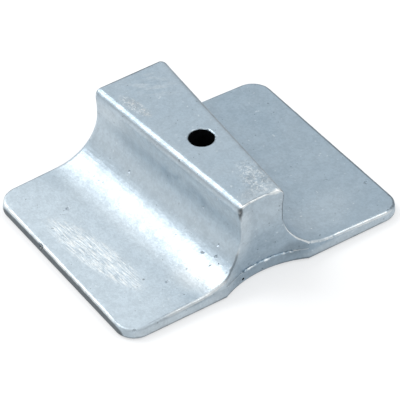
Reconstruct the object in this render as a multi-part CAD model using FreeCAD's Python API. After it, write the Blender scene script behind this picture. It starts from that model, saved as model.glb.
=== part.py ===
import FreeCAD, Part
import math
import os

# Sacrificial anode: one zinc casting, a thin base plate that carries a tapered block with hollow sides.
# +X runs across the two wings, +Y towards the wide end of the block, +Z up.
# The origin is on the axis of the bolt hole, at the underside. Lengths are millimetres, angles degrees.
# Up to the last step the casting stands about its own middle, from which the hole is a little off.

# Base plate
plate_width = 104.4         # across both wings, in line with the bolt hole
plate_front = 38.3          # from the bolt hole to the front edge
plate_back = 40.4           # from the bolt hole to the back edge
plate_taper = 1.0           # each side closes in by this angle towards the back
plate_corner = 6.8          # corner radius in plan
tip_thickness = 3.9         # at the outer edge of a wing
wing_rise = 2.3             # slope of a wing's top, up towards the block
edge_draft = 4.0            # lean of the front and side edges
back_draft = 2.4            # lean of the back edge and of the block's back face

# Block
block_height = 31.0         # underside to the top face
waist_width = 21.0          # narrowest width of the block, in line with the bolt hole
block_taper = 4.2           # each side opens by this angle towards the back
side_radius = 14.7          # hollow of the side, from its waist down
foot_radius = 27.0          # flatter hollow that runs out into the wing
foot_ease = 0.7             # how far the side arc alone would stay above the wing
upper_radius = 60.0         # faint hollow from the waist up to the top edge
top_rounding = 2.6          # long top edges

# Hollow front end
recess_radius = 35.0        # radius in plan
recess_depth = 3.8          # from the front edge in to the deepest point of the hollow
recess_draft = 0.9          # lean of the block's front face
lip_height = 4.7            # top of the upright band on the plate
lip_step = 0.25             # the front face stands back from the band by this much

# Bolt hole
bolt_hole_diameter = 8.5
hole_offset = 1.2           # the hole stands this far from the casting's middle, towards +X
hole_edge = 0.35            # broken edge at the upper mouth

# Softened edges
rim_rounding = 1.0          # upper edges of the plate and the block's rear top edge
rear_rounding = 2.0         # upright rear edges of the block
front_rounding = 0.5        # edges of the hollow front end
base_rounding = 1.2         # lower edges

# Working values
top_margin = 1.0            # side profile runs past the top face by this much
reach = 200.0               # cutting tools run past the casting by this much
smooth_below = 10.0         # faces that meet at less than this angle carry on from each other
near = 0.02                 # an edge this close to a surface lies on it
recess_axis_y = recess_depth - plate_front - recess_radius
UP = FreeCAD.Vector(0, 0, 1)


def tangent(angle):
    return math.tan(math.radians(angle))


def plate_half_width(y, z):
    return plate_width / 2 - y * tangent(plate_taper) - z * tangent(edge_draft)


def front_y(z):
    return -plate_front + z * tangent(edge_draft)


def rear_y(z):
    return plate_back - z * tangent(back_draft)


def blank_corners(z):
    """Corners of the uncut blank at one height, drawn in by the draft of each side."""
    corners = []
    for side, y in ((-1, front_y(z)), (1, front_y(z)), (1, rear_y(z)), (-1, rear_y(z))):
        corners.append(FreeCAD.Vector(side * plate_half_width(y, z), y, z))
    return corners


def flat_face(corners):
    return Part.Face(Part.makePolygon(corners + corners[:1]))


def make_blank():
    """Drafted prism as high as the block, with the corner radius of the plate."""
    low = blank_corners(0)
    high = blank_corners(block_height)
    faces = [flat_face(low[::-1]), flat_face(high)]
    for i in range(4):
        after = (i + 1) % 4
        faces.append(flat_face([low[i], low[after], high[after], high[i]]))
    prism = Part.makeSolid(Part.makeShell(faces))
    uprights = [e for e in prism.Edges if abs(e.tangentAt(e.FirstParameter).z) > near]
    return prism.makeFillet(plate_corner, uprights)


def arc_point(centre, radius, z):
    """Point at a given height on the inner side of an arc drawn in the XZ plane."""
    return FreeCAD.Vector(centre.x - math.sqrt(radius ** 2 - (z - centre.z) ** 2), 0, z)


def make_side_cutter():
    """Tool beside the block and above the right wing, and the height where its foot arc ends."""
    waist_half = waist_width / 2
    rise = math.radians(wing_rise)
    outward = FreeCAD.Vector(math.cos(rise), 0, -math.sin(rise))
    normal = FreeCAD.Vector(math.sin(rise), 0, math.cos(rise))
    tip = FreeCAD.Vector(plate_width / 2, 0, tip_thickness)

    # The side arc has its centre level with the waist, foot_ease clear of the wing's top.
    side_x = waist_half + side_radius
    wing_below = tip.z + (tip.x - side_x) * math.tan(rise)
    side_centre = FreeCAD.Vector(side_x, 0, wing_below + (side_radius + foot_ease) / math.cos(rise))
    waist = FreeCAD.Vector(waist_half, 0, side_centre.z)

    # The foot arc touches the wing's top and carries on from the side arc.
    lift = foot_radius - side_radius - foot_ease
    shift = math.sqrt((foot_radius - side_radius) ** 2 - lift ** 2)
    foot_centre = side_centre + outward * shift + normal * lift
    foot_start = foot_centre - normal * foot_radius
    towards_foot = (side_centre - foot_centre).normalize()
    foot_end = side_centre + towards_foot * side_radius
    foot_middle_way = (towards_foot - normal).normalize()
    foot_middle = foot_centre + foot_middle_way * foot_radius
    side_middle_way = (towards_foot + FreeCAD.Vector(-1, 0, 0)).normalize()
    side_middle = side_centre + side_middle_way * side_radius

    # The upper arc leans out slightly, from the waist past the top face.
    upper_centre = FreeCAD.Vector(waist_half + upper_radius, 0, waist.z)
    upper_z = block_height + top_margin
    upper_end = arc_point(upper_centre, upper_radius, upper_z)
    upper_middle = arc_point(upper_centre, upper_radius, (waist.z + upper_z) / 2)

    beyond_wing = foot_start + outward * reach
    above_wing = FreeCAD.Vector(beyond_wing.x, 0, block_height + reach)
    above_block = FreeCAD.Vector(upper_end.x, 0, above_wing.z)
    edges = [
        Part.LineSegment(above_block, above_wing).toShape(),
        Part.LineSegment(above_wing, beyond_wing).toShape(),
        Part.LineSegment(beyond_wing, foot_start).toShape(),
        Part.Arc(foot_start, foot_middle, foot_end).toShape(),
        Part.Arc(foot_end, side_middle, waist).toShape(),
        Part.Arc(waist, upper_middle, upper_end).toShape(),
        Part.LineSegment(upper_end, above_block).toShape(),
    ]
    face = Part.Face(Part.Wire(edges))
    face.translate(FreeCAD.Vector(0, -reach, 0))
    cutter = face.extrude(FreeCAD.Vector(0, 2 * reach, 0))
    cutter.rotate(FreeCAD.Vector(waist_half, 0, 0), UP, -block_taper)
    return cutter, foot_end.z


def recess_face_radius(z):
    """Plan radius of the block's front face, which leans back with height."""
    return recess_radius + lip_step + (z - lip_height) * tangent(recess_draft)


def make_recess_cutter():
    """Upright round tool that hollows the front end, wider above the lip."""
    top = block_height + top_margin
    lip_radius = recess_face_radius(lip_height)
    band_start = FreeCAD.Vector(0, recess_axis_y, -reach)
    face_start = FreeCAD.Vector(0, recess_axis_y, lip_height)
    band = Part.makeCylinder(recess_radius, lip_height + reach, band_start)
    face = Part.makeCone(lip_radius, recess_face_radius(top), top - lip_height, face_start)
    return band.fuse(face)


def make_hole_cutter():
    """Bolt hole with a broken edge at its upper mouth."""
    radius = bolt_hole_diameter / 2
    below = FreeCAD.Vector(hole_offset, 0, -reach)
    mouth_start = FreeCAD.Vector(hole_offset, 0, block_height - hole_edge)
    hole = Part.makeCylinder(radius, block_height + 2 * reach, below)
    mouth = Part.makeCone(radius, radius + hole_edge, hole_edge, mouth_start)
    return hole.fuse(mouth)


def is_sharp(shape, edge, middle):
    """True where the two faces beside an edge meet at an angle."""
    normals = []
    for face in shape.ancestorsOfType(edge, Part.Face):
        u, v = face.Surface.parameter(middle)
        normals.append(face.normalAt(u, v))
    return math.degrees(normals[0].getAngle(normals[1])) > smooth_below


def outer_roundings(shape, edge):
    """Rounding radius at the start and at the end of an outer edge, or None where it stays as it is."""
    start = edge.valueAt(edge.FirstParameter)
    end = edge.valueAt(edge.LastParameter)
    middle = edge.valueAt((edge.FirstParameter + edge.LastParameter) / 2)
    if middle.z < near or not is_sharp(shape, edge, middle):
        return None
    on_top = middle.z > block_height - near
    on_rear = middle.y > rear_y(middle.z) - near
    on_front = middle.y < front_y(middle.z) + near
    if on_top and not on_rear and not on_front:
        return top_rounding, top_rounding
    if on_top or not on_rear:
        return rim_rounding, rim_rounding
    return rear_rounding_at(start.z), rear_rounding_at(end.z)


def rear_rounding_at(z):
    """The rear edge is rounder on the block and fades to the wing's rounding along the foot."""
    return rear_rounding if z > foot_top - near else rim_rounding


def front_and_base_roundings(shape, edge):
    """As outer_roundings, for the lower edges and the edges of the hollow front end above the lip."""
    middle = edge.valueAt((edge.FirstParameter + edge.LastParameter) / 2)
    from_axis = math.hypot(middle.x, middle.y - recess_axis_y)
    if middle.z < near:
        return base_rounding, base_rounding
    if middle.z > lip_height + near and from_axis < recess_face_radius(middle.z) + near:
        return front_rounding, front_rounding
    return None


def round_edges(shape, roundings):
    """Rounds the edges of a shape in one operation, so that roundings of different size meet cleanly."""
    edges = []
    for number, edge in enumerate(shape.Edges, 1):
        radii = roundings(shape, edge)
        if radii:
            edges.append((number,) + radii)
    # A rounding that changes along its edge goes first, and then fits the steady ones on either side.
    edges.sort(key=lambda entry: entry[1] == entry[2])
    document = FreeCAD.newDocument()
    plain = document.addObject("Part::Feature", "Plain")
    plain.Shape = shape
    rounded = document.addObject("Part::Fillet", "Rounded")
    rounded.Base = plain
    rounded.Edges = edges
    document.recompute()
    if rounded.Shape.isNull() or not rounded.Shape.isValid():
        raise ValueError("The edge roundings don't fit these dimensions")
    return rounded.Shape


right, foot_top = make_side_cutter()
left = right.mirror(FreeCAD.Vector(0, 0, 0), FreeCAD.Vector(1, 0, 0))
casting = round_edges(make_blank().cut([right, left]), outer_roundings)
casting = round_edges(casting.cut(make_recess_cutter()), front_and_base_roundings)
casting = casting.cut(make_hole_cutter())
casting.translate(FreeCAD.Vector(-hole_offset, 0, 0))

os.makedirs("parts", exist_ok=True)
casting.exportStep("parts/anode_casting.step")
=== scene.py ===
"""Looks and stage for a cast zinc sacrificial anode, laid out as an add-on."""
import math

import bmesh
import bpy
from bpy.props import FloatProperty, FloatVectorProperty, PointerProperty
from mathutils import Matrix, Vector


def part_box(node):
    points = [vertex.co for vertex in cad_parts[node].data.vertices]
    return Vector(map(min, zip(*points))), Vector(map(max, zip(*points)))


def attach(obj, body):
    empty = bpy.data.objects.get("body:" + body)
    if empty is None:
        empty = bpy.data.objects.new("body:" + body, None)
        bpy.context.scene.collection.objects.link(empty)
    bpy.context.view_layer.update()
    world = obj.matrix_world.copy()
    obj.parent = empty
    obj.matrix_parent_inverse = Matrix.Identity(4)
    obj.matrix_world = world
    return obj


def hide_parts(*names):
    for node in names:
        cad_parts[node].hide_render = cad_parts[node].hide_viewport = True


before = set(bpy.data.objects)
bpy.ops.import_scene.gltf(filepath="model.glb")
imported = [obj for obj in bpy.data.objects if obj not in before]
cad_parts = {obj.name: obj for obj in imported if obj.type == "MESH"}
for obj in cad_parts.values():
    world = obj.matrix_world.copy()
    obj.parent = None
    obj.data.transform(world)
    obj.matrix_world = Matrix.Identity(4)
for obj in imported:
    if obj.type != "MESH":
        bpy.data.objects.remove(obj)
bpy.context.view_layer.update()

bl_info = {
    "name": "Sacrificial anode",
    "version": (1, 0, 0),
    "blender": (4, 5, 0),
    "location": "3D View > Sidebar > Anode",
    "description": "Builds the skin, the finish and the stage of a cast zinc anode",
    "category": "Object",
}

BODY = "root"
CASTING_NODE = "anode_casting"
CASTING_PIECE = "casting_surface"
FLASH_PIECE = "lip_flash"

# Values that the skin's points carry for the finish: a painted highlight with some wear along edges,
# painted shade along the other edges, and the pits' floors.
EDGE_HIGHLIGHT_ATTRIBUTE = "edge_highlight_and_wear"
EDGE_SHADE_ATTRIBUTE = "edge_painted_shade"
PIT_ATTRIBUTE = "pit_floor"

# Sizes of the casting. The origin is on the bolt hole's axis, at the underside. Lengths are metres.
HOLE_RADIUS = 0.00425
MIDDLE_X = -0.0012            # the casting's own middle, from which the hole is a little off
RECESS_AXIS_Y = -0.0695       # upright axis of the hollow front end
RECESS_REACH = 0.0362         # the faces of the hollow front end are all nearer to its axis than this
LIP_HEIGHT = 0.0047
LIP_RADIUS = 0.0350

# Dividing the skin. The last four say how much of a face's normal lies along one axis.
MERGE_DISTANCE = 1e-6         # points this close are one point
SLIVER_WIDTH = 8e-6           # once the pits are cut, points this close are one point
FLAT_ANGLE = math.radians(0.05)   # triangles that meet at less than this are one flat face
LEVEL_NORMAL = 0.9986         # along Z, for a level face
END_NORMAL = 0.99             # along Y, for a flat end
STEEP_NORMAL = 0.7            # less than this along Y or Z, for a face that is divided across it
TURNED_NORMAL = 0.3           # along Y, for a face that is divided across Z

# Waves and dents stay off the underside and the hole. They set in between these heights, and between
# these distances from the hole's axis.
SKIN_HEIGHTS = (0.0003, 0.002)
SKIN_DISTANCES = (1.1 * HOLE_RADIUS, 1.8 * HOLE_RADIUS)

# Edge marks. Edges that look up and to the front left get a painted highlight with some wear, and the
# rest get painted shade.
FULL_CURVATURE = 900.0        # curvature, per metre, at which a rounding counts in full
SPREAD_ROUNDS = 3             # how often a point shares its weight with its neighbours
UPWARD_LIMITS = (-0.05, 0.35)     # upward part of a normal at which the painted highlight sets in, and is full
TOWARD_LIMIT = 0.3            # part to the front left, where it sets in at minus this and is full at this
RIGHT_LIMITS = (-0.004, 0.002)    # x between which the right side sets in
RIGHT_SHIFT = 0.35            # there an edge has to look this much more to the front left
RIGHT_BLOCK_HEIGHT = 0.02     # that holds for the block above this height
RIGHT_RIM_X = 0.045           # and for the right wing beyond this x

# Pits and shading. Edges that are sharper than the angles stay crisp.
BALL_DETAIL = 3               # subdivisions of the balls that cut the pits
PIT_FLOOR_DEPTH = 0.3         # share of a pit's depth below which its floor is
CRISP_ANGLE = math.radians(40)
FLASH_CRISP_ANGLE = math.radians(50)

# Wall of the bolt hole: distance from the axis, and how far it ends from the underside and the top.
WALL_REACH = 1.02 * HOLE_RADIUS
WALL_BOTTOM_GAP = 0.0002
WALL_TOP_GAP = 0.0005
WALL_NORMAL = 0.5             # a wall's normal lies less than this along Z

# The flash is a ring, cut off behind the hollow's axis and at both its ends: place and outward direction.
FLASH_SEGMENTS = 1400
FLASH_SIDES = 8
FLASH_CUTS = (
    ((MIDDLE_X, RECESS_AXIS_Y, 0), (0, -1, 0)),
    ((-0.0085, 0, 0), (-1, 0, 0)),
    ((0.0095, 0, 0), (1, 0, 0)),
)

# Small gas pits and one nick in the left rim: place on the skin, half width and depth.
PITS = (
    ((-0.0372, 0.0214, 0.0046), 0.00055, 0.00030),
    ((-0.0306, -0.0252, 0.0047), 0.00050, 0.00030),
    ((-0.0157, 0.0179, 0.0119), 0.00042, 0.00025),
    ((-0.0105, -0.0160, 0.0189), 0.00042, 0.00025),
    ((-0.0103, -0.0235, 0.0276), 0.00042, 0.00025),
    ((0.0480, -0.0224, 0.0040), 0.00060, 0.00040),
    ((-0.0089, -0.0354, 0.0020), 0.00050, 0.00030),
    ((-0.0505, -0.0366, 0.0035), 0.00060, 0.00035),
    ((0.0229, -0.0228, 0.0051), 0.00045, 0.00025),
    ((-0.0162, -0.0238, 0.0083), 0.00036, 0.00020),
    ((-0.0146, -0.0285, 0.0093), 0.00036, 0.00020),
    ((-0.0130, -0.0270, 0.0125), 0.00028, 0.00016),
    ((-0.0172, -0.0292, 0.0071), 0.00028, 0.00016),
    ((-0.0152, -0.0312, 0.0084), 0.00028, 0.00016),
    ((-0.0533, 0.0125, 0.0032), 0.00110, 0.00045),
)

# Parts of the skin with a finish of their own, many of them places of painted light and painted shade:
# middle, turn about Z in degrees, half sizes, and the share of those sizes inside which the patch is at
# full strength.
PATCHES = {
    "left wing": ((-0.0500, 0.0, 0.0045), -86, (0.066, 0.030, 0.020), 0.40),
    "right wing": ((0.0440, 0.0, 0.0045), 86, (0.080, 0.045, 0.030), 0.60),
    "hollow": ((-0.0230, 0.0, 0.0064), -86, (0.090, 0.0105, 0.008), 0.35),
    "block side": ((-0.0135, 0.0, 0.0190), -86, (0.090, 0.009, 0.0125), 0.45),
    "upper side": ((-0.0120, 0.0, 0.0262), -86, (0.070, 0.008, 0.0062), 0.30),
    "stained side": ((-0.0122, -0.0050, 0.0212), -86, (0.024, 0.008, 0.0050), 0.10),
    "front face": ((0.0030, -0.0365, 0.0060), 0, (0.030, 0.012, 0.014), 0.30),
    "front top": ((-0.0010, -0.0340, 0.0270), 0, (0.020, 0.008, 0.013), 0.30),
    "front foot": ((0.0100, -0.0360, 0.0058), 0, (0.0065, 0.006, 0.0036), 0.35),
    "scratched": ((-0.0417, -0.0012, 0.0045), -82, (0.0255, 0.0062, 0.010), 0.60),
    "scuffed": ((-0.0086, 0.0246, 0.0310), -80, (0.0085, 0.0026, 0.006), 0.55),
    "rippled": ((0.0015, 0.0310, 0.0310), -60, (0.012, 0.008, 0.010), 0.30),
    "speckled": ((0.0026, -0.0248, 0.0310), 80, (0.0120, 0.0060, 0.006), 0.30),
    "rough front": ((-0.0008, -0.0303, 0.0310), 12, (0.0105, 0.0040, 0.006), 0.30),
    "hollow end": ((-0.0215, -0.0300, 0.0060), -45, (0.0135, 0.0095, 0.006), 0.20),
    "front left corner": ((-0.0091, -0.0344, 0.0294), 0, (0.0011, 0.0016, 0.0030), 0.20),
    "front right corner": ((0.0047, -0.0342, 0.0307), 0, (0.0022, 0.0014, 0.0014), 0.30),
    "left front edge": ((-0.0360, -0.0385, 0.0020), 0, (0.026, 0.0034, 0.0022), 0.55),
    "left front rim": ((-0.0370, -0.0378, 0.0042), 0, (0.026, 0.0011, 0.0012), 0.45),
    "under top edge": ((-0.0115, 0.0, 0.0302), -86, (0.090, 0.0012, 0.0010), 0.30),
    "shaded top edge": ((-0.0122, -0.0020, 0.0290), -86, (0.030, 0.0020, 0.0016), 0.30),
    "front top rim": ((-0.0045, -0.0337, 0.0311), 5, (0.0064, 0.0006, 0.0008), 0.40),
    "right foot front": ((0.0260, -0.0275, 0.0046), 20, (0.020, 0.010, 0.006), 0.30),
    "top right edge": ((0.0092, 0.0, 0.0305), 86, (0.090, 0.0014, 0.0012), 0.30),
    "top back edge": ((-0.0012, 0.0389, 0.0307), 0, (0.0165, 0.0012, 0.0014), 0.50),
    "right rim": ((0.0503, 0.0, 0.0038), 91, (0.060, 0.0008, 0.0010), 0.60),
    "lower front edge": ((-0.0012, -0.0378, 0.0005), 0, (0.054, 0.0030, 0.0011), 0.70),
    "upright front edge": ((-0.0092, -0.0346, 0.0200), 0, (0.0030, 0.0030, 0.0085), 0.50),
    "curved front edge": ((-0.0135, -0.0363, 0.0098), 0, (0.0068, 0.0040, 0.0070), 0.50),
    "lip": ((-0.0005, -0.0362, 0.0020), 0, (0.022, 0.0060, 0.0034), 0.55),
    "left front corner": ((-0.0500, -0.0380, 0.0030), 0, (0.016, 0.0130, 0.008), 0.40),
    "right front edge": ((0.0340, -0.0380, 0.0022), 0, (0.026, 0.0034, 0.0024), 0.55),
    "left rim": ((-0.0542, 0.0, 0.0010), 89, (0.060, 0.0022, 0.0036), 0.80),
    "right foot": ((0.0225, -0.0260, 0.0050), 60, (0.014, 0.006, 0.006), 0.20),
}

# The finish is laid over the zinc in this order: colour, strength and the marks that it follows.
LAYERS = (
    # Painted light on the left wing, a painted highlight in the hollow, painted light on the block side,
    # the upper side and the top of the front face, and painted shade on the front foot and the lip.
    ("bright", 0.21, ("left wing",)),
    ("pale", 0.20, ("hollow",)),
    ("bright", 0.20, ("block side",)),
    ("bright", 0.42, ("upper side",)),
    ("bright", 0.20, ("front top",)),
    ("dark", 0.22, ("front foot",)),
    ("dark", 0.09, ("lip",)),
    # Painted shade: dark lines under the top left edge, along the top right and top back edges, on the
    # right rim, the lower front edge and the front top rim.
    ("dark", 0.13, ("shaded top edge",)),
    ("dark", 0.20, ("under top edge",)),
    ("dark", 0.46, ("top right edge",)),
    ("dark", 0.30, ("top back edge",)),
    ("dark", 0.35, ("right rim",)),
    ("dark", 0.28, ("lower front edge",)),
    ("dark", 0.40, ("front top rim",)),
    # Painted light on the left front edge, a painted highlight at the front end of the hollow, and
    # painted light on the front of the right foot and the right front edge.
    ("bright", 0.30, ("left front edge",)),
    ("pale", 0.40, ("hollow end",)),
    ("bright", 0.13, ("right foot front",)),
    ("bright", 0.35, ("right front edge",)),
    ("bright", 0.35, ("scratched",)),
    ("pale", 0.85, ("scratched", "bright scratches")),
    ("dull", 0.55, ("scratched", "dark scratches")),
    ("bright", 0.15, ("scuffed",)),
    ("pale", 0.62, ("scuffed", "scuffs")),
    ("dark", 0.16, ("scuffed", "stains")),
    ("bright", 0.42, ("rough front", "scuffs")),
    ("dark", 0.16, ("rough front", "stains")),
    ("bright", 0.20, ("rippled", "bright ripples")),
    ("dull", 0.60, ("rippled", "dark ripples")),
    ("bright", 0.80, ("speckled", "scuffs")),
    ("dark", 0.22, ("speckled", "mottle", "stains")),
    ("dull", 0.75, ("stained side", "stains")),
    ("pale", 0.80, ("right foot", "bright specks")),
    ("dark", 0.13, ("mottle",)),
    ("dark", 0.45, ("dark specks",)),
    ("bright", 0.35, ("bright specks",)),
    # Painted shade on the left rim.
    ("dark", 0.73, ("left rim",)),
    # Painted highlight with some wear on edges that look to the front left, painted dark lines on the
    # left front rim and the curved front edge, and painted shade on the other edges.
    ("pale", 0.75, ("highlit and worn edges", "highlit places")),
    ("dark", 0.15, ("left front rim",)),
    ("dark", 0.42, ("highlit and worn edges", "curved front edge")),
    ("dark", 0.58, ("shaded edges", "shaded places")),
    # A dark spot at the front left corner, and a painted glint at the front right corner.
    ("dark", 0.75, ("front left corner",)),
    ("pale", 0.80, ("front right corner",)),
    # Painted shade on the pits' floors.
    ("dark", 0.12, ("pit floors",)),
)

# How far the clean zinc takes the place of the dull in each patch, on top of the clouds. Here the right
# wing and the front face get painted shade, and the block side and the left wing painted light.
TONES = (
    ("right wing", -0.35),
    ("front face", -0.45),
    ("block side", 0.55),
    ("left wing", 1.0),
)
CLOUD_TONE = 0.35             # share of clean zinc outside the clouds. Inside them it is twice that

# How far each mark makes the skin rougher, and how rough it is outside and inside the clouds.
ROUGHNESSES = (
    ("left wing", 0.12),
    ("mottle", 0.06),
    ("highlit and worn edges", -0.08),
)
CLOUD_ROUGHNESSES = (0.44, 0.38)

# Patches whose edges get no painted highlight.
UNHIGHLIT_PATCHES = (
    "left front edge", "left front corner", "under top edge", "upright front edge", "curved front edge")

# Scratches and ripples: turn about Z, and length, width and height of one mark.
SCRATCH_TURN = math.radians(-86)
SCRATCH_SIZE = (0.0042, 0.00045, 0.0042)
RIPPLE_TURN = math.radians(-25)
RIPPLE_SIZE = (0.006, 0.0022, 0.006)

METALLIC = 0.7
SCUFF_HEIGHT = 0.6            # height of a scuff, beside a height of 1 for the grain
HOLE_STAINS = 0.012           # share of dull zinc in the stains on the bolt hole's wall

# Stage. The lamps stand in these directions from the anode and are this wide and high.
LAMP_DISTANCE = 1.3
KEY_DIRECTION = (-0.294, 0.57, 0.767)
KEY_SIZE = (0.74, 0.7)
EDGE_DIRECTION = (0.419, -0.264, 0.868)
EDGE_SIZE = (0.4, 0.4)
SENSOR_WIDTH = 36             # millimetres
CAMERA_REACH = 50             # the camera sees this far

# Sockets of a Mix node that mixes colours.
FIRST_COLOUR = 6
SECOND_COLOUR = 7
MIXED_COLOUR = 2


class AnodeCastingSettings(bpy.types.PropertyGroup):
    """Sizes of the casting's skin."""
    grid_step: FloatProperty(
        name="Grid step", description="Spacing of the lines that divide the skin",
        default=0.001, unit="LENGTH")
    wave_depth: FloatProperty(
        name="Wave depth", description="Height of the soft waves that casting leaves on the skin",
        default=0.00008, unit="LENGTH")
    wave_size: FloatProperty(
        name="Wave size", description="Width of the soft waves",
        default=0.011, unit="LENGTH")
    edge_depth: FloatProperty(
        name="Edge wear depth", description="Depth of the small dents along the edges",
        default=0.0002, unit="LENGTH")
    edge_size: FloatProperty(
        name="Edge wear size", description="Length of the small dents along the edges",
        default=0.0022, unit="LENGTH")


class AnodeFlashSettings(bpy.types.PropertyGroup):
    """Sizes of the flash along the lip."""
    flash_height: FloatProperty(
        name="Flash height", description="Half height of the ragged flash along the lip of the front end",
        default=0.00034, unit="LENGTH")
    flash_raggedness: FloatProperty(
        name="Flash raggedness", description="How far the flash swells and thins along the lip",
        default=0.0009, unit="LENGTH")
    flash_swell: FloatProperty(
        name="Flash swell", description="Length of the flash's swells along the lip",
        default=0.0011, unit="LENGTH")


class AnodeFinishSettings(bpy.types.PropertyGroup):
    """Colours of the zinc, also used for painted light and painted shade."""
    zinc_colour: FloatVectorProperty(
        name="Zinc", description="Colour of the clean cast skin",
        default=(0.47, 0.56, 0.63), size=3, subtype="COLOR", min=0, max=1)
    # Dull zinc is also the painted shade on the right wing and the front face.
    dull_colour: FloatVectorProperty(
        name="Dull zinc", description="Colour of the darker, oxidised skin",
        default=(0.34, 0.435, 0.515), size=3, subtype="COLOR", min=0, max=1)
    # Bright zinc is also the painted light on the left wing, the block side, the upper side, the top of
    # the front face, the left and right front edges and the front of the right foot.
    bright_colour: FloatVectorProperty(
        name="Bright zinc", description="Colour of scuffs, ripples and the lighter parts of the skin",
        default=(0.74, 0.80, 0.83), size=3, subtype="COLOR", min=0, max=1)
    # Pale zinc is also the painted highlight in the hollow and at its front end, the painted highlight on
    # edges that look to the front left, and a painted glint at the front right corner.
    pale_colour: FloatVectorProperty(
        name="Pale zinc", description="Colour of scratches, highlit and worn edges and the hollow's painted highlight",
        default=(0.81, 0.84, 0.84), size=3, subtype="COLOR", min=0, max=1)
    # This dark colour is also the painted shade on the front foot and the lip, along edges and rims,
    # under the top left edge, on the left rim and on the pits' floors.
    dark_colour: FloatVectorProperty(
        name="Grime", description="Colour of grime, of dark specks and of the pits' floors",
        default=(0.007, 0.008, 0.009), size=3, subtype="COLOR", min=0, max=1)
    # The bolt hole's wall is painted almost black as painted shade.
    hole_shade_colour: FloatVectorProperty(
        name="Bolt hole", description="Colour of the bolt hole's wall",
        default=(0.0018, 0.0018, 0.0022), size=3, subtype="COLOR", min=0, max=1)


class AnodeStageSettings(bpy.types.PropertyGroup):
    """Floor, lamps and camera."""
    floor_size: FloatProperty(
        name="Floor size", description="Side of the square floor",
        default=8.0, unit="LENGTH")
    floor_colour: FloatVectorProperty(
        name="Floor", description="Colour of the floor",
        default=(0.42, 0.43, 0.44), size=3, subtype="COLOR", min=0, max=1)
    floor_lift: FloatProperty(
        name="Floor lift", description="Light added to the floor where it is seen or mirrored",
        default=0.54)
    room_level: FloatProperty(
        name="Room level", description="Strength of the even light from all round",
        default=0.80)
    key_power: FloatProperty(
        name="Key lamp", description="Power of the high lamp behind the left wing",
        default=8.4, unit="POWER")
    edge_power: FloatProperty(
        name="Edge lamp", description="Power of the small lamp high above the right wing",
        default=2.6, unit="POWER")
    lens: FloatProperty(
        name="Lens", description="Focal length of the camera in millimetres",
        default=342.44)
    distance: FloatProperty(
        name="Distance", description="From the camera to the point it looks at",
        default=1.21295, unit="LENGTH")
    azimuth: FloatProperty(
        name="Azimuth", description="Turn of the camera about the upright axis, from the front",
        default=math.radians(-34.025), unit="ROTATION")
    elevation: FloatProperty(
        name="Elevation", description="Angle of the camera above the floor",
        default=math.radians(41.553), unit="ROTATION")
    roll: FloatProperty(
        name="Roll", description="Turn of the camera about its own line of sight",
        default=math.radians(-0.749), unit="ROTATION")
    pan: FloatVectorProperty(
        name="Pan", description="Shift of the camera to its right and upwards",
        default=(-0.00076, 0.00379), size=2, subtype="XYZ", unit="LENGTH")
    shift: FloatVectorProperty(
        name="Shift", description="Shift of the camera over the floor",
        default=(-0.00022, -0.0003), size=2, subtype="XYZ", unit="LENGTH")


def select_only(obj):
    """Makes one object the only selected one and the active one."""
    bpy.ops.object.select_all(action="DESELECT")
    obj.select_set(True)
    bpy.context.view_layer.objects.active = obj


def copy_of_node(node_name, piece_name):
    """A free copy of a solid, which can be shaped."""
    select_only(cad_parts[node_name])
    bpy.ops.object.duplicate()
    piece = bpy.context.active_object
    for key in list(piece.keys()):
        del piece[key]
    piece.parent = None
    piece.name = piece_name
    piece.data.name = piece_name
    piece.data.materials.clear()
    return piece


def is_level(face):
    """Flat of a wing, of the top or of the underside."""
    return abs(face.normal.z) > LEVEL_NORMAL


def is_flat_end(face):
    """The casting's back or the front edge of a wing, but not the hollow front end."""
    centre = face.calc_center_median()
    from_axis = math.hypot(centre.x - MIDDLE_X, centre.y - RECESS_AXIS_Y)
    return abs(face.normal.y) > END_NORMAL and from_axis > RECESS_REACH


def takes_column(face):
    """Faces that are divided across X."""
    return is_level(face) or is_flat_end(face)


def takes_row(face):
    """Faces that are divided across Y."""
    return abs(face.normal.y) < STEEP_NORMAL


def takes_layer(face):
    """Faces that are divided across Z."""
    return abs(face.normal.z) < STEEP_NORMAL and abs(face.normal.y) > TURNED_NORMAL


def cut_across(piece, axis, step, belongs):
    """Cuts the chosen faces by evenly spaced planes across one axis, the first half a step in."""
    low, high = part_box(CASTING_NODE)
    normal = Vector((0, 0, 0))
    normal[axis] = 1
    for i in range(int((high[axis] - low[axis]) / step)):
        place = low[axis] + step * (i + 0.5)
        mesh = bmesh.from_edit_mesh(piece.data)
        for face in mesh.faces:
            face.select_set(belongs(face))
        bmesh.update_edit_mesh(piece.data, loop_triangles=False, destructive=False)
        bpy.ops.mesh.bisect(plane_co=normal * place, plane_no=normal, threshold=MERGE_DISTANCE)


def merge_and_divide(piece, step):
    """Joins the loose triangles and divides the skin, each face only across its own length."""
    select_only(piece)
    bpy.ops.object.mode_set(mode="EDIT")
    bpy.ops.mesh.select_all(action="SELECT")
    bpy.ops.mesh.remove_doubles(threshold=MERGE_DISTANCE)
    bpy.ops.mesh.dissolve_limited(angle_limit=FLAT_ANGLE)
    bpy.ops.mesh.select_mode(type="FACE")
    cut_across(piece, 0, step, takes_column)
    cut_across(piece, 1, step, takes_row)
    cut_across(piece, 2, step, takes_layer)
    bpy.ops.object.mode_set(mode="OBJECT")


def fade(value, start, end):
    """Smooth step from 0 at start to 1 at end."""
    t = min(max((value - start) / (end - start), 0), 1)
    return t * t * (3 - 2 * t)


def bend_at(vertex):
    """How much a point lies on an outward rounding, from 0 to 1."""
    bend = sum(e.calc_face_angle_signed(0) * e.calc_length() for e in vertex.link_edges)
    area = sum(f.calc_area() / len(f.verts) for f in vertex.link_faces)
    return min(max(bend / (4 * area * FULL_CURVATURE), 0), 1) if area else 0


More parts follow.
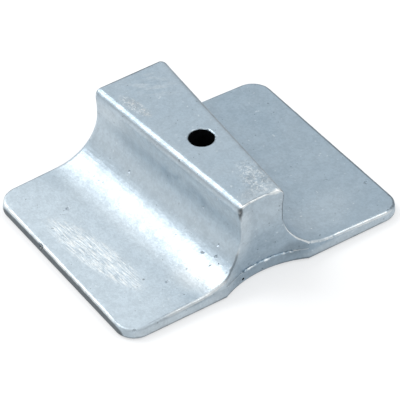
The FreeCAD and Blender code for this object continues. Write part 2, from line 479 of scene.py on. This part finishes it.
def highlight_share(vertex):
    """How much of the mark at a point is painted highlight with some wear, from 0 to 1. The rest is
    painted shade.
    """
    up = fade(vertex.normal.z, *UPWARD_LIMITS)
    shift = 0
    if vertex.co.z > RIGHT_BLOCK_HEIGHT or vertex.co.x > RIGHT_RIM_X:
        shift = RIGHT_SHIFT * fade(vertex.co.x, *RIGHT_LIMITS)
    toward = -vertex.normal.x - vertex.normal.y
    return up * fade(toward, shift - TOWARD_LIMIT, shift + TOWARD_LIMIT)


def measure_edges(piece):
    """For each point how much it lies on an outward rounding, and the share of painted highlight in its
    mark.
    """
    mesh = bmesh.new()
    mesh.from_mesh(piece.data)
    bends = [bend_at(vertex) for vertex in mesh.verts]
    for _ in range(SPREAD_ROUNDS):
        spread = []
        for vertex in mesh.verts:
            around = [bends[e.other_vert(vertex).index] for e in vertex.link_edges]
            spread.append(0.5 * bends[vertex.index] + 0.5 * sum(around) / len(around))
        bends = spread
    shares = [highlight_share(vertex) for vertex in mesh.verts]
    mesh.free()
    return bends, shares


def store_weights(piece):
    """Vertex groups for the modifiers, and the attributes that the finish reads."""
    bends, shares = measure_edges(piece)
    skin_group = piece.vertex_groups.new(name="skin")
    edge_group = piece.vertex_groups.new(name="edges")
    for vertex in piece.data.vertices:
        x, y, z = vertex.co
        clear = fade(z, *SKIN_HEIGHTS) * fade(math.hypot(x, y), *SKIN_DISTANCES)
        skin_group.add([vertex.index], clear, "REPLACE")
        edge_group.add([vertex.index], bends[vertex.index] * clear, "REPLACE")
    # Painted highlight with some wear on edges that look to the front left, painted shade on the other
    # edges.
    edge_highlight = piece.data.attributes.new(EDGE_HIGHLIGHT_ATTRIBUTE, "FLOAT", "POINT")
    edge_highlight.data.foreach_set("value", [bend * share for bend, share in zip(bends, shares)])
    grime_and_shade = piece.data.attributes.new(EDGE_SHADE_ATTRIBUTE, "FLOAT", "POINT")
    grime_and_shade.data.foreach_set("value", [bend * (1 - share) for bend, share in zip(bends, shares)])


def add_displace(piece, name, size, depth, group=None):
    """Moves the skin in and out by a cloud pattern, then applies the modifier."""
    texture = bpy.data.textures.new(name, "CLOUDS")
    texture.noise_scale = size
    texture.noise_depth = 2
    modifier = piece.modifiers.new(name, "DISPLACE")
    modifier.texture = texture
    modifier.texture_coords = "LOCAL"
    if group:
        modifier.vertex_group = group
    modifier.strength = depth
    modifier.mid_level = 0.5
    select_only(piece)
    bpy.ops.object.modifier_apply(modifier=name)


def cut_pits(piece):
    """Cuts the gas pits and the nick with flattened balls, and marks their floors for the painted shade
    that the finish puts there.
    """
    balls = []
    floors = []
    for place, half_width, depth in PITS:
        _, centre, normal, _ = piece.closest_point_on_mesh(place)
        turn = normal.to_track_quat("Z", "Y").to_euler()
        bpy.ops.object.select_all(action="DESELECT")
        bpy.ops.mesh.primitive_ico_sphere_add(
            subdivisions=BALL_DETAIL, radius=1, location=centre, rotation=turn)
        ball = bpy.context.active_object
        ball.scale = (half_width, half_width, depth)
        balls.append(ball)
        floors.append((centre.copy(), normal.copy(), half_width, depth))
    bpy.ops.object.select_all(action="DESELECT")
    for ball in balls:
        ball.select_set(True)
    bpy.ops.object.transform_apply(location=True, rotation=True, scale=True)
    bpy.context.view_layer.objects.active = balls[0]
    bpy.ops.object.join()
    cutter = bpy.context.active_object
    modifier = piece.modifiers.new("pits", "BOOLEAN")
    modifier.operation = "DIFFERENCE"
    modifier.solver = "EXACT"
    modifier.object = cutter
    select_only(piece)
    bpy.ops.object.modifier_apply(modifier="pits")
    bpy.data.objects.remove(cutter)
    merge_slivers(piece)
    marks = piece.data.attributes.new(PIT_ATTRIBUTE, "FLOAT", "POINT")
    marks.data.foreach_set("value", [on_pit_floor(vertex.co, floors) for vertex in piece.data.vertices])


def merge_slivers(piece):
    """Merges the points that cuts left almost on each other, and the faces that vanish with them."""
    select_only(piece)
    bpy.ops.object.mode_set(mode="EDIT")
    bpy.ops.mesh.select_all(action="SELECT")
    bpy.ops.mesh.remove_doubles(threshold=SLIVER_WIDTH)
    bpy.ops.mesh.dissolve_degenerate(threshold=MERGE_DISTANCE)
    bpy.ops.object.mode_set(mode="OBJECT")


def on_pit_floor(place, floors):
    """1 for a point on the floor of one of the pits, else 0."""
    for centre, normal, half_width, depth in floors:
        offset = place - centre
        if offset.length < half_width and offset.dot(normal) < -PIT_FLOOR_DEPTH * depth:
            return 1.0
    return 0.0


def smooth_shading(piece):
    """Smooth shading with crisp corners, led by the larger faces."""
    select_only(piece)
    bpy.ops.object.shade_smooth_by_angle(angle=CRISP_ANGLE)
    modifier = piece.modifiers.new("face normals", "WEIGHTED_NORMAL")
    modifier.mode = "FACE_AREA"
    modifier.keep_sharp = True
    bpy.ops.object.modifier_apply(modifier="face normals")


class ANODE_OT_casting(bpy.types.Operator):
    """Add the cast body with its wavy skin, worn edges and gas pits"""
    bl_idname = "anode.add_casting"
    bl_label = "Casting"

    def execute(self, context):
        settings = context.scene.anode_casting
        piece = copy_of_node(CASTING_NODE, CASTING_PIECE)
        merge_and_divide(piece, settings.grid_step)
        store_weights(piece)
        add_displace(piece, "waves", settings.wave_size, settings.wave_depth, "skin")
        add_displace(piece, "edge wear", settings.edge_size, settings.edge_depth, "edges")
        cut_pits(piece)
        smooth_shading(piece)
        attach(piece, BODY)
        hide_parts(CASTING_NODE)
        return {"FINISHED"}


class ANODE_OT_flash(bpy.types.Operator):
    """Add the ragged flash that the mould's joint left along the lip of the front end"""
    bl_idname = "anode.add_flash"
    bl_label = "Flash on the lip"

    def execute(self, context):
        settings = context.scene.anode_flash
        bpy.ops.object.select_all(action="DESELECT")
        bpy.ops.mesh.primitive_torus_add(
            major_segments=FLASH_SEGMENTS, minor_segments=FLASH_SIDES,
            major_radius=LIP_RADIUS, minor_radius=settings.flash_height,
            location=(MIDDLE_X, RECESS_AXIS_Y, LIP_HEIGHT))
        piece = context.active_object
        piece.name = FLASH_PIECE
        piece.data.name = FLASH_PIECE
        bpy.ops.object.transform_apply(location=True, rotation=True, scale=True)
        bpy.ops.object.mode_set(mode="EDIT")
        for place, normal in FLASH_CUTS:
            bpy.ops.mesh.select_all(action="SELECT")
            bpy.ops.mesh.bisect(plane_co=place, plane_no=normal, use_fill=True, clear_outer=True)
        bpy.ops.mesh.select_all(action="SELECT")
        bpy.ops.mesh.normals_make_consistent(inside=False)
        bpy.ops.object.mode_set(mode="OBJECT")
        add_displace(piece, "flash", settings.flash_swell, settings.flash_raggedness)
        select_only(piece)
        bpy.ops.object.shade_smooth_by_angle(angle=FLASH_CRISP_ANGLE)
        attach(piece, BODY)
        return {"FINISHED"}


def add_node(tree, kind, settings=None, **inputs):
    """Adds a node, with its settings and its inputs by name. An input may be a socket or a value."""
    node = tree.nodes.new(kind)
    for name, value in (settings or {}).items():
        setattr(node, name, value)
    for name, value in inputs.items():
        set_input(tree, node.inputs[name.replace("_", " ")], value)
    return node


def set_input(tree, socket, value):
    """Links a socket to an input, or gives the input a plain value."""
    if isinstance(value, bpy.types.NodeSocket):
        tree.links.new(value, socket)
    else:
        socket.default_value = value


def calculate(tree, operation, *values, clamp=False):
    """Math node on sockets and numbers."""
    node = tree.nodes.new("ShaderNodeMath")
    node.operation = operation
    node.use_clamp = clamp
    for socket, value in zip(node.inputs, values):
        set_input(tree, socket, value)
    return node.outputs[0]


def move_range(tree, value, start, end, low=0.0, high=1.0):
    """Maps start..end to low..high with soft ends."""
    node = add_node(tree, "ShaderNodeMapRange", {"interpolation_type": "SMOOTHSTEP"},
                    From_Min=start, From_Max=end, To_Min=low, To_Max=high)
    set_input(tree, node.inputs["Value"], value)
    return node.outputs["Result"]


def blend_colours(tree, factor, first, second):
    """Mixes two colours by a factor."""
    node = tree.nodes.new("ShaderNodeMix")
    node.data_type = "RGBA"
    set_input(tree, node.inputs["Factor"], factor)
    set_input(tree, node.inputs[FIRST_COLOUR], first)
    set_input(tree, node.inputs[SECOND_COLOUR], second)
    return node.outputs[MIXED_COLOUR]


def rgba(colour):
    """A colour with full alpha."""
    return (colour[0], colour[1], colour[2], 1.0)


def new_group(name, inputs, outputs):
    """Empty shader group with named sockets, its input node and its output node."""
    tree = bpy.data.node_groups.new(name, "ShaderNodeTree")
    for socket_name, kind, default in inputs:
        socket = tree.interface.new_socket(name=socket_name, in_out="INPUT", socket_type=kind)
        if default is not None:
            socket.default_value = default
    for socket_name, kind in outputs:
        tree.interface.new_socket(name=socket_name, in_out="OUTPUT", socket_type=kind)
    start = tree.nodes.new("NodeGroupInput")
    end = tree.nodes.new("NodeGroupOutput")
    return tree, start, end


def use_group(tree, group, **inputs):
    """Places a group in a material."""
    return add_node(tree, "ShaderNodeGroup", {"node_tree": group}, **inputs)


def make_grain_group():
    """Sandy grain of the cast skin, with a soft mottle and sparse specks."""
    tree, start, end = new_group(
        "cast grain",
        [("Vector", "NodeSocketVector", None), ("Scale", "NodeSocketFloat", 1100.0)],
        [("Height", "NodeSocketFloat"), ("Mottle", "NodeSocketFloat"),
         ("Dark Specks", "NodeSocketFloat"), ("Bright Specks", "NodeSocketFloat")])
    fine = add_node(tree, "ShaderNodeTexNoise", Vector=start.outputs["Vector"],
                    Scale=start.outputs["Scale"], Detail=3.0, Roughness=0.6)
    coarse_scale = calculate(tree, "MULTIPLY", start.outputs["Scale"], 0.3)
    coarse = add_node(tree, "ShaderNodeTexNoise", Vector=start.outputs["Vector"],
                      Scale=coarse_scale, Detail=3.0, Roughness=0.6)
    speck_scale = calculate(tree, "MULTIPLY", start.outputs["Scale"], 0.75)
    specks = add_node(tree, "ShaderNodeTexNoise", Vector=start.outputs["Vector"],
                      Scale=speck_scale, Detail=1.0, Roughness=0.4)
    half = calculate(tree, "MULTIPLY", fine.outputs["Fac"], 0.5)
    height = calculate(tree, "MULTIPLY_ADD", coarse.outputs["Fac"], 0.8, half)
    mottle = calculate(tree, "ADD", fine.outputs["Fac"], coarse.outputs["Fac"])
    tree.links.new(height, end.inputs["Height"])
    tree.links.new(move_range(tree, mottle, 0.75, 1.25), end.inputs["Mottle"])
    tree.links.new(move_range(tree, specks.outputs["Fac"], 0.74, 0.80), end.inputs["Dark Specks"])
    tree.links.new(move_range(tree, specks.outputs["Fac"], 0.28, 0.22), end.inputs["Bright Specks"])
    return tree


def make_blotch_group():
    """Soft cloudy mask."""
    tree, start, end = new_group(
        "soft blotches",
        [("Vector", "NodeSocketVector", None), ("Scale", "NodeSocketFloat", 70.0),
         ("Level", "NodeSocketFloat", 0.5), ("Softness", "NodeSocketFloat", 0.2)],
        [("Mask", "NodeSocketFloat")])
    noise = add_node(tree, "ShaderNodeTexNoise", Vector=start.outputs["Vector"],
                     Scale=start.outputs["Scale"], Detail=4.0, Roughness=0.55, Distortion=0.4)
    low = calculate(tree, "SUBTRACT", start.outputs["Level"], start.outputs["Softness"])
    high = calculate(tree, "ADD", start.outputs["Level"], start.outputs["Softness"])
    mask = move_range(tree, noise.outputs["Fac"], low, high)
    tree.links.new(mask, end.inputs["Mask"])
    return tree


def make_patch_group():
    """Soft-edged oval around a point, long in one direction."""
    tree, start, end = new_group(
        "patch",
        [("Vector", "NodeSocketVector", None), ("Centre", "NodeSocketVector", (0, 0, 0)),
         ("Turn", "NodeSocketVector", (0, 0, 0)), ("Size", "NodeSocketVector", (1, 1, 1)),
         ("Core", "NodeSocketFloat", 0.3)],
        [("Mask", "NodeSocketFloat")])
    local = add_node(tree, "ShaderNodeMapping", {"vector_type": "TEXTURE"},
                     Vector=start.outputs["Vector"], Location=start.outputs["Centre"],
                     Rotation=start.outputs["Turn"], Scale=start.outputs["Size"])
    length = add_node(tree, "ShaderNodeVectorMath", {"operation": "LENGTH"})
    tree.links.new(local.outputs["Vector"], length.inputs[0])
    mask = move_range(tree, length.outputs["Value"], 1.0, start.outputs["Core"])
    tree.links.new(mask, end.inputs["Mask"])
    return tree


def make_scratch_group():
    """Fine streaks along the X axis of a turned frame, each as long and as thin as the given size."""
    tree, start, end = new_group(
        "scratches",
        [("Vector", "NodeSocketVector", None), ("Turn", "NodeSocketVector", (0, 0, 0)),
         ("Size", "NodeSocketVector", (0.005, 0.0007, 0.005))],
        [("Bright", "NodeSocketFloat"), ("Dark", "NodeSocketFloat"), ("Height", "NodeSocketFloat")])
    local = add_node(tree, "ShaderNodeMapping", {"vector_type": "TEXTURE"},
                     Vector=start.outputs["Vector"], Rotation=start.outputs["Turn"],
                     Scale=start.outputs["Size"])
    streaks = add_node(tree, "ShaderNodeTexNoise", Vector=local.outputs["Vector"],
                       Scale=1.0, Detail=3.0, Roughness=0.65, Distortion=0.1)
    tree.links.new(move_range(tree, streaks.outputs["Fac"], 0.51, 0.58), end.inputs["Bright"])
    tree.links.new(move_range(tree, streaks.outputs["Fac"], 0.46, 0.38), end.inputs["Dark"])
    tree.links.new(streaks.outputs["Fac"], end.inputs["Height"])
    return tree


def make_scuff_group():
    """Short crooked scuffs: the thin lines where a warped noise crosses its middle value."""
    tree, start, end = new_group(
        "scuffs",
        [("Vector", "NodeSocketVector", None), ("Scale", "NodeSocketFloat", 320.0),
         ("Width", "NodeSocketFloat", 0.03)],
        [("Mask", "NodeSocketFloat")])
    noise = add_node(tree, "ShaderNodeTexNoise", Vector=start.outputs["Vector"],
                     Scale=start.outputs["Scale"], Detail=2.0, Roughness=0.5, Distortion=1.2)
    off = calculate(tree, "SUBTRACT", noise.outputs["Fac"], 0.5)
    distance = calculate(tree, "ABSOLUTE", off)
    line = move_range(tree, distance, start.outputs["Width"], 0.0)
    breaks_scale = calculate(tree, "MULTIPLY", start.outputs["Scale"], 1.6)
    breaks = add_node(tree, "ShaderNodeTexNoise", Vector=start.outputs["Vector"],
                      Scale=breaks_scale, Detail=1.0, Roughness=0.5)
    broken = move_range(tree, breaks.outputs["Fac"], 0.39, 0.51)
    tree.links.new(calculate(tree, "MULTIPLY", line, broken), end.inputs["Mask"])
    return tree


def make_edge_group():
    """Mask along the edges, broken up by noise, for the painted highlight with some wear and for the
    painted shade.
    """
    tree, start, end = new_group(
        "edge wear",
        [("Vector", "NodeSocketVector", None), ("Edge", "NodeSocketFloat", 0.0),
         ("Scale", "NodeSocketFloat", 400.0), ("Breaks", "NodeSocketFloat", 0.8)],
        [("Mask", "NodeSocketFloat")])
    noise = add_node(tree, "ShaderNodeTexNoise", Vector=start.outputs["Vector"],
                     Scale=start.outputs["Scale"], Detail=3.0, Roughness=0.6)
    centred = calculate(tree, "SUBTRACT", noise.outputs["Fac"], 0.5)
    broken = calculate(tree, "MULTIPLY", centred, start.outputs["Breaks"])
    total = calculate(tree, "ADD", start.outputs["Edge"], broken)
    tree.links.new(move_range(tree, total, 0.2, 0.75), end.inputs["Mask"])
    return tree


def make_material(name):
    """New material, with its tree and its shader."""
    material = bpy.data.materials.new(name)
    material.use_nodes = True
    tree = material.node_tree
    return material, tree, tree.nodes["Principled BSDF"]


def object_place(tree):
    """Where a point lies on the casting, in metres."""
    return tree.nodes.new("ShaderNodeTexCoord").outputs["Object"]


def read_attribute(tree, name):
    """Value that the skin's points carry."""
    return add_node(tree, "ShaderNodeAttribute", {"attribute_name": name}).outputs["Fac"]


def place_patches(tree, groups, place):
    """One patch mask for each entry of PATCHES."""
    masks = {}
    for name, (middle, turn, size, core) in PATCHES.items():
        node = use_group(tree, groups["patch"], Vector=place, Centre=middle,
                         Turn=(0, 0, math.radians(turn)), Size=size, Core=core)
        node.label = name
        masks[name] = node.outputs["Mask"]
    return masks


def make_marks(tree, groups, place):
    """All that the skin shows, by name: the patches, the grain, the wear, and where edges get a painted
    highlight and where painted shade.
    """
    marks = place_patches(tree, groups, place)
    grain = use_group(tree, groups["grain"], Vector=place, Scale=1100.0)
    marks["grain height"] = grain.outputs["Height"]
    marks["mottle"] = grain.outputs["Mottle"]
    marks["dark specks"] = grain.outputs["Dark Specks"]
    marks["bright specks"] = grain.outputs["Bright Specks"]
    clouds = use_group(tree, groups["blotches"], Vector=place, Scale=75.0, Level=0.5, Softness=0.3)
    marks["clouds"] = clouds.outputs["Mask"]
    stains = use_group(tree, groups["blotches"], Vector=place, Scale=220.0, Level=0.5, Softness=0.16)
    marks["stains"] = stains.outputs["Mask"]
    # Edge masks: painted highlight with some wear, and painted shade.
    edge_highlight = use_group(tree, groups["edge"], Vector=place, Scale=350.0, Breaks=0.7,
                    Edge=read_attribute(tree, EDGE_HIGHLIGHT_ATTRIBUTE))
    marks["highlit and worn edges"] = edge_highlight.outputs["Mask"]
    grime_and_shade = use_group(tree, groups["edge"], Vector=place, Scale=250.0, Breaks=0.6,
                      Edge=read_attribute(tree, EDGE_SHADE_ATTRIBUTE))
    marks["shaded edges"] = grime_and_shade.outputs["Mask"]
    marks["pit floors"] = read_attribute(tree, PIT_ATTRIBUTE)
    scratches = use_group(tree, groups["scratches"], Vector=place,
                          Turn=(0, 0, SCRATCH_TURN), Size=SCRATCH_SIZE)
    marks["bright scratches"] = scratches.outputs["Bright"]
    marks["dark scratches"] = scratches.outputs["Dark"]
    marks["scratch height"] = scratches.outputs["Height"]
    ripples = use_group(tree, groups["scratches"], Vector=place,
                        Turn=(0, 0, RIPPLE_TURN), Size=RIPPLE_SIZE)
    marks["bright ripples"] = ripples.outputs["Bright"]
    marks["dark ripples"] = ripples.outputs["Dark"]
    scuffs = use_group(tree, groups["scuffs"], Vector=place, Scale=620.0, Width=0.09)
    marks["scuffs"] = scuffs.outputs["Mask"]
    # Places where edges get the painted highlight, and where they get painted shade.
    highlit_places = 1.0
    for name in UNHIGHLIT_PATCHES:
        highlit_places = calculate(tree, "SUBTRACT", highlit_places, marks[name], clamp=True)
    marks["highlit places"] = highlit_places
    marks["shaded places"] = calculate(tree, "SUBTRACT", 1.0, marks["upright front edge"])
    return marks


def make_skin_colour(tree, settings, marks):
    """Clean and dull zinc in cloudy tones, with all layers of the finish over them, painted light and
    painted shade among them.
    """
    colours = {
        "bright": rgba(settings.bright_colour),
        "pale": rgba(settings.pale_colour),
        "dull": rgba(settings.dull_colour),
        "dark": rgba(settings.dark_colour),
    }
    tone = calculate(tree, "MULTIPLY_ADD", marks["clouds"], CLOUD_TONE, CLOUD_TONE)
    for name, share in TONES:
        tone = calculate(tree, "MULTIPLY_ADD", marks[name], share, tone)
    tone = calculate(tree, "ADD", tone, 0.0, clamp=True)
    colour = blend_colours(tree, tone, colours["dull"], rgba(settings.zinc_colour))
    for colour_name, strength, followed in LAYERS:
        amount = strength
        for name in followed:
            amount = calculate(tree, "MULTIPLY", amount, marks[name])
        colour = blend_colours(tree, amount, colour, colours[colour_name])
    return colour


def make_skin_material(settings, groups):
    """Satin cast zinc with cloudy tones, scuffs and scratches, painted light and shade on parts of the
    skin, and painted highlight with some wear and painted shade along the edges.
    """
    material, tree, shader = make_material("cast zinc skin")
    marks = make_marks(tree, groups, object_place(tree))
    tree.links.new(make_skin_colour(tree, settings, marks), shader.inputs["Base Color"])

    rough = move_range(tree, marks["clouds"], 0.0, 1.0, *CLOUD_ROUGHNESSES)
    for name, share in ROUGHNESSES:
        rough = calculate(tree, "MULTIPLY_ADD", marks[name], share, rough)
    tree.links.new(rough, shader.inputs["Roughness"])

    height = calculate(tree, "MULTIPLY", marks["scratch height"], marks["scratched"])
    scuff_height = calculate(tree, "MULTIPLY", marks["scuffs"], marks["scuffed"])
    height = calculate(tree, "MULTIPLY_ADD", scuff_height, SCUFF_HEIGHT, height)
    height = calculate(tree, "ADD", height, marks["grain height"])
    bump = add_node(tree, "ShaderNodeBump", Strength=0.55, Distance=0.0002, Height=height)
    tree.links.new(bump.outputs["Normal"], shader.inputs["Normal"])
    shader.inputs["Metallic"].default_value = METALLIC
    return material


def make_hole_shade_material(settings, groups):
    """Bolt hole's wall painted almost black as painted shade, with faint stains."""
    material, tree, shader = make_material("bolt hole painted shade")
    grain = use_group(tree, groups["grain"], Vector=object_place(tree), Scale=900.0)
    stains = calculate(tree, "MULTIPLY", grain.outputs["Mottle"], HOLE_STAINS)
    colour = blend_colours(tree, stains, rgba(settings.hole_shade_colour), rgba(settings.dull_colour))
    tree.links.new(colour, shader.inputs["Base Color"])
    bump = add_node(tree, "ShaderNodeBump", Strength=0.5, Distance=0.0003, Height=grain.outputs["Height"])
    tree.links.new(bump.outputs["Normal"], shader.inputs["Normal"])
    shader.inputs["Metallic"].default_value = 0.0
    shader.inputs["Specular IOR Level"].default_value = 0.02
    shader.inputs["Roughness"].default_value = 0.9
    return material


def make_flash_material(settings, groups):
    """Dull zinc of the flash with bright dashes of painted highlight along it."""
    material, tree, shader = make_material("flash")
    dashes = use_group(tree, groups["blotches"], Vector=object_place(tree),
                       Scale=420.0, Level=0.53, Softness=0.08)
    colour = blend_colours(tree, dashes.outputs["Mask"],
                           rgba(settings.dull_colour), rgba(settings.bright_colour))
    tree.links.new(colour, shader.inputs["Base Color"])
    shader.inputs["Metallic"].default_value = METALLIC
    shader.inputs["Roughness"].default_value = 0.4
    return material


def is_hole_wall(face, top):
    """Upright face of the bolt hole, clear of both its mouths."""
    x, y, z = face.center
    within = math.hypot(x, y) < WALL_REACH and WALL_BOTTOM_GAP < z < top - WALL_TOP_GAP
    return within and abs(face.normal.z) < WALL_NORMAL


def assign_materials(piece, skin, hole):
    """Skin on all faces but the bolt hole's wall."""
    piece.data.materials.append(skin)
    piece.data.materials.append(hole)
    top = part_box(CASTING_NODE)[1][2]
    for face in piece.data.polygons:
        face.material_index = 1 if is_hole_wall(face, top) else 0


class ANODE_OT_finish(bpy.types.Operator):
    """Give the casting its zinc skin with painted light and shade, and paint its bolt hole's wall almost
    black as painted shade
    """
    bl_idname = "anode.add_finish"
    bl_label = "Zinc finish"

    def execute(self, context):
        settings = context.scene.anode_finish
        groups = {
            "grain": make_grain_group(),
            "blotches": make_blotch_group(),
            "patch": make_patch_group(),
            "scratches": make_scratch_group(),
            "scuffs": make_scuff_group(),
            "edge": make_edge_group(),
        }
        piece = bpy.data.objects[CASTING_PIECE]
        skin = make_skin_material(settings, groups)
        assign_materials(piece, skin, make_hole_shade_material(settings, groups))
        bpy.data.objects[FLASH_PIECE].data.materials.append(make_flash_material(settings, groups))
        return {"FINISHED"}


def make_floor_material(settings):
    """Pale floor that is seen and mirrored as white, and still takes a shadow."""
    material, tree, shader = make_material("floor")
    path = tree.nodes.new("ShaderNodeLightPath")
    seen = calculate(tree, "ADD", path.outputs["Is Camera Ray"], path.outputs["Is Glossy Ray"])
    seen = calculate(tree, "ADD", seen, path.outputs["Is Transmission Ray"], clamp=True)
    lift = calculate(tree, "MULTIPLY", seen, settings.floor_lift)
    tree.links.new(lift, shader.inputs["Emission Strength"])
    shader.inputs["Emission Color"].default_value = (1, 1, 1, 1)
    shader.inputs["Base Color"].default_value = rgba(settings.floor_colour)
    shader.inputs["Roughness"].default_value = 0.9
    shader.inputs["Specular IOR Level"].default_value = 0.1
    return material


def add_lamp(name, direction, size, power):
    """Soft area lamp that shines at the anode from one direction."""
    place = Vector(direction).normalized() * LAMP_DISTANCE
    bpy.ops.object.select_all(action="DESELECT")
    bpy.ops.object.light_add(type="AREA", location=place)
    lamp = bpy.context.active_object
    lamp.name = name
    lamp.rotation_euler = place.to_track_quat("Z", "Y").to_euler()
    lamp.data.shape = "RECTANGLE"
    lamp.data.size = size[0]
    lamp.data.size_y = size[1]
    lamp.data.energy = power


def add_camera(settings):
    """Camera at the angle of the photograph."""
    turn = Matrix.Rotation(settings.azimuth, 3, "Z")
    tilt = Matrix.Rotation(math.pi / 2 - settings.elevation, 3, "X")
    roll = Matrix.Rotation(settings.roll, 3, "Z")
    rotation = turn @ tilt @ roll
    pan_right, pan_up = settings.pan
    place = rotation @ Vector((pan_right, pan_up, settings.distance)) + Vector((*settings.shift, 0))
    bpy.ops.object.select_all(action="DESELECT")
    bpy.ops.object.camera_add(location=place, rotation=rotation.to_euler())
    camera = bpy.context.active_object
    camera.data.lens = settings.lens
    camera.data.sensor_width = SENSOR_WIDTH
    camera.data.clip_end = CAMERA_REACH
    bpy.context.scene.camera = camera


class ANODE_OT_stage(bpy.types.Operator):
    """Add the pale floor, the soft lamps and the camera"""
    bl_idname = "anode.add_stage"
    bl_label = "Stage"

    def execute(self, context):
        settings = context.scene.anode_stage
        bpy.ops.object.select_all(action="DESELECT")
        bpy.ops.mesh.primitive_plane_add(size=settings.floor_size, location=(0, 0, 0))
        floor = context.active_object
        floor.name = "floor"
        floor.data.materials.append(make_floor_material(settings))
        add_lamp("key lamp", KEY_DIRECTION, KEY_SIZE, settings.key_power)
        add_lamp("edge lamp", EDGE_DIRECTION, EDGE_SIZE, settings.edge_power)
        world = bpy.data.worlds.new("room")
        world.use_nodes = True
        background = world.node_tree.nodes["Background"]
        background.inputs["Color"].default_value = (1, 1, 1, 1)
        background.inputs["Strength"].default_value = settings.room_level
        context.scene.world = world
        context.scene.view_settings.view_transform = "Standard"
        add_camera(settings)
        return {"FINISHED"}


# What the panel shows: title, settings and operator.
STEPS = (
    ("Casting", "anode_casting", "anode.add_casting"),
    ("Flash", "anode_flash", "anode.add_flash"),
    ("Finish", "anode_finish", "anode.add_finish"),
    ("Stage", "anode_stage", "anode.add_stage"),
)


class ANODE_PT_sidebar(bpy.types.Panel):
    """Buttons and sizes of the anode"""
    bl_idname = "ANODE_PT_sidebar"
    bl_label = "Sacrificial anode"
    bl_space_type = "VIEW_3D"
    bl_region_type = "UI"
    bl_category = "Anode"

    def draw(self, context):
        for title, group, operator in STEPS:
            box = self.layout.box()
            box.label(text=title)
            settings = getattr(context.scene, group)
            for name in settings.__annotations__:
                box.prop(settings, name)
            box.operator(operator)


CLASSES = (
    AnodeCastingSettings,
    AnodeFlashSettings,
    AnodeFinishSettings,
    AnodeStageSettings,
    ANODE_OT_casting,
    ANODE_OT_flash,
    ANODE_OT_finish,
    ANODE_OT_stage,
    ANODE_PT_sidebar,
)


def register():
    for cls in CLASSES:
        bpy.utils.register_class(cls)
    bpy.types.Scene.anode_casting = PointerProperty(type=AnodeCastingSettings)
    bpy.types.Scene.anode_flash = PointerProperty(type=AnodeFlashSettings)
    bpy.types.Scene.anode_finish = PointerProperty(type=AnodeFinishSettings)
    bpy.types.Scene.anode_stage = PointerProperty(type=AnodeStageSettings)


def unregister():
    del bpy.types.Scene.anode_stage
    del bpy.types.Scene.anode_finish
    del bpy.types.Scene.anode_flash
    del bpy.types.Scene.anode_casting
    for cls in reversed(CLASSES):
        bpy.utils.unregister_class(cls)


def main():
    register()
    bpy.ops.anode.add_casting()
    bpy.ops.anode.add_flash()
    bpy.ops.anode.add_finish()
    bpy.ops.anode.add_stage()


if __name__ == "__main__":
    main()
